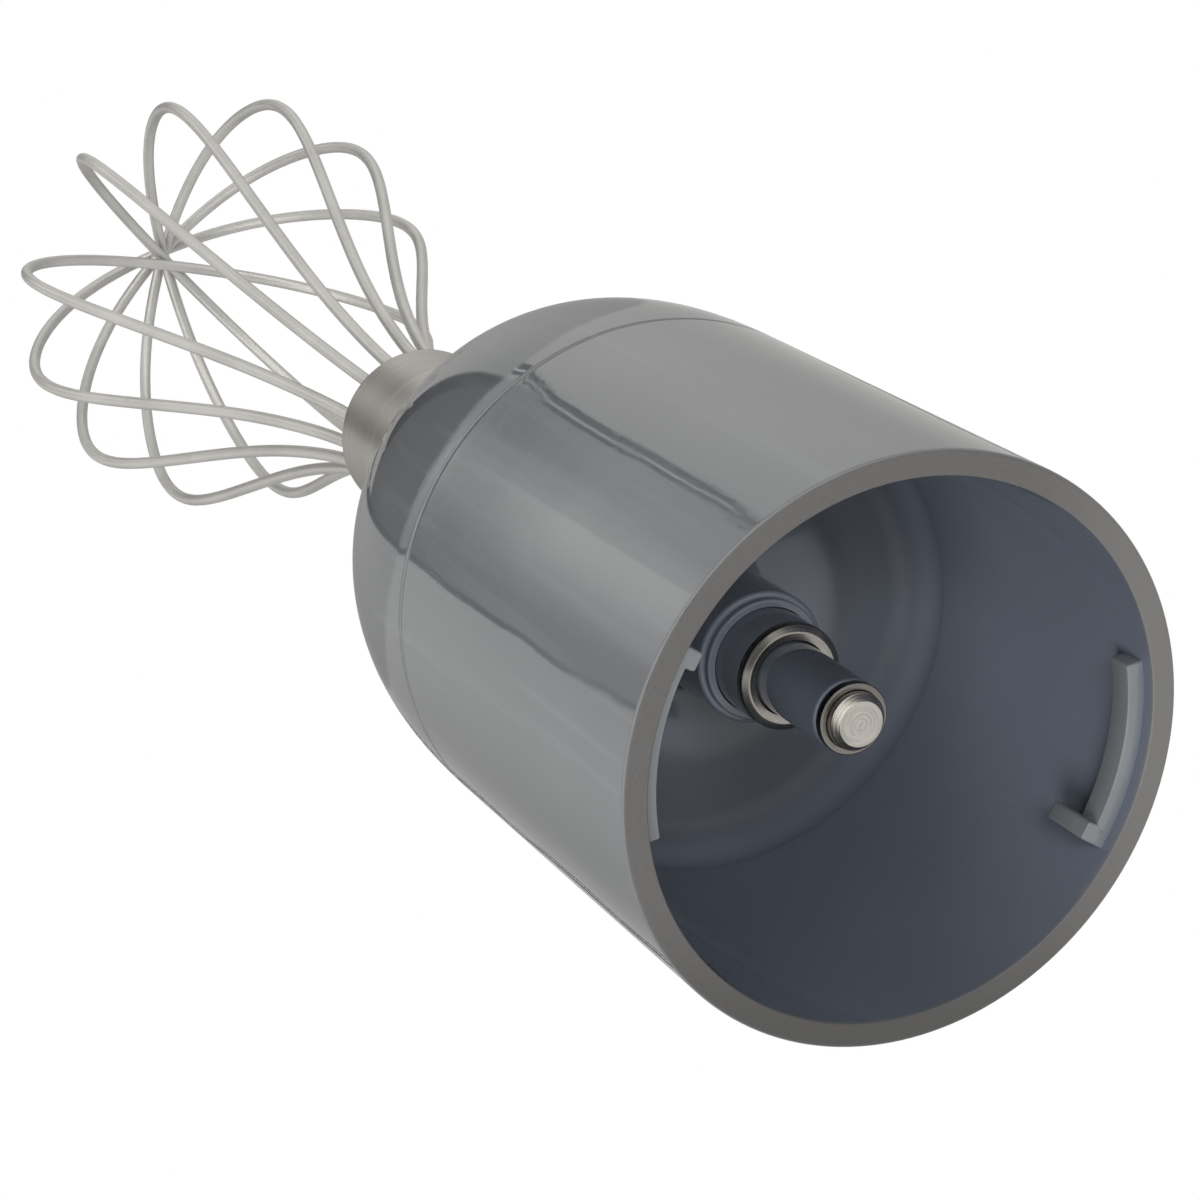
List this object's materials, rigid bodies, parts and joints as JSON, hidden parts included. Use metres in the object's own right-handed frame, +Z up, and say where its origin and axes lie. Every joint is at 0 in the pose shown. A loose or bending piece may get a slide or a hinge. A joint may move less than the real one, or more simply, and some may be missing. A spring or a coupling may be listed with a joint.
{
  "type": "immersion blender whisk attachment",
  "caption": "Whisk attachment for a stick blender: open round collar with bayonet lugs, domed geared nose, steel ferrule and a cage of wire loops.",
  "frame": {"origin": "centre of the collar's open rim, which the part stands on", "axes": "+Z up along the drive axis, from the rim to the crown of the whisk; the part is round about it"},
  "size_m": [0.0582, 0.058, 0.2286],
  "materials": {
    "collar_plastic": "moulded grey plastic, glossy",
    "dark_plastic": "dark blue-grey moulded plastic, glossy",
    "gear_plastic": "natural moulded gear plastic",
    "turned_steel": "turned steel, bright",
    "ferrule_steel": "fine brushed stainless steel",
    "wire_steel": "bright drawn steel wire",
    "bronze": "sintered bronze",
    "seal_rubber": "black seal rubber"
  },
  "bodies": {
    "housing": {"collar_shell": "collar_plastic", "nose_cap": "collar_plastic", "gear_cover": "dark_plastic", "input_bush": "turned_steel", "ring_gear": "gear_plastic", "ring_gear_screw_1": "turned_steel", "ring_gear_screw_2": "turned_steel", "ring_gear_screw_3": "turned_steel", "output_bush_lower": "bronze", "output_bush_upper": "bronze", "shaft_seal": "seal_rubber"},
    "whisk": {"planet_carrier": "gear_plastic", "planet_pin_1": "turned_steel", "planet_pin_2": "turned_steel", "planet_pin_3": "turned_steel", "planet_washer_1": "turned_steel", "planet_washer_2": "turned_steel", "planet_washer_3": "turned_steel", "output_shaft": "turned_steel", "output_clip": "turned_steel", "output_washer": "turned_steel", "whisk_hub": "dark_plastic", "ferrule": "ferrule_steel", "wire_loop_1": "wire_steel", "wire_loop_2": "wire_steel", "wire_loop_3": "wire_steel", "wire_loop_4": "wire_steel", "wire_loop_5": "wire_steel", "wire_loop_6": "wire_steel"},
    "drive": {"drive_shaft": "turned_steel", "tip_washer": "turned_steel", "drive_coupling": "dark_plastic", "sun_gear": "turned_steel", "drive_washer": "turned_steel", "drive_clip": "turned_steel"},
    "planet_1": {"planet_gear_1": "gear_plastic"},
    "planet_2": {"planet_gear_2": "gear_plastic"},
    "planet_3": {"planet_gear_3": "gear_plastic"}
  },
  "joints": [
    {"name": "whisk_spin", "type": "hinge", "parent": "housing", "child": "whisk", "pos_m": [0, 0, 0.1], "axis": [0, 0, 1], "continuous": true},
    {"name": "drive_spin", "type": "hinge", "parent": "housing", "child": "drive", "pos_m": [0, 0, 0.03], "axis": [0, 0, 1], "continuous": true},
    {"name": "planet_1_spin", "type": "hinge", "parent": "whisk", "child": "planet_1", "pos_m": [0, 0.0135, 0.05195], "axis": [0, 0, 1], "continuous": true},
    {"name": "planet_2_spin", "type": "hinge", "parent": "whisk", "child": "planet_2", "pos_m": [-0.01169, -0.00675, 0.05195], "axis": [0, 0, 1], "continuous": true},
    {"name": "planet_3_spin", "type": "hinge", "parent": "whisk", "child": "planet_3", "pos_m": [0.01169, -0.00675, 0.05195], "axis": [0, 0, 1], "continuous": true}
  ],
  "couplings": [
    {"joint": "drive_spin", "follows": "whisk_spin", "ratio": 4.5},
    {"joint": "planet_1_spin", "follows": "whisk_spin", "ratio": -2.8},
    {"joint": "planet_2_spin", "follows": "whisk_spin", "ratio": -2.8},
    {"joint": "planet_3_spin", "follows": "whisk_spin", "ratio": -2.8}
  ]
}
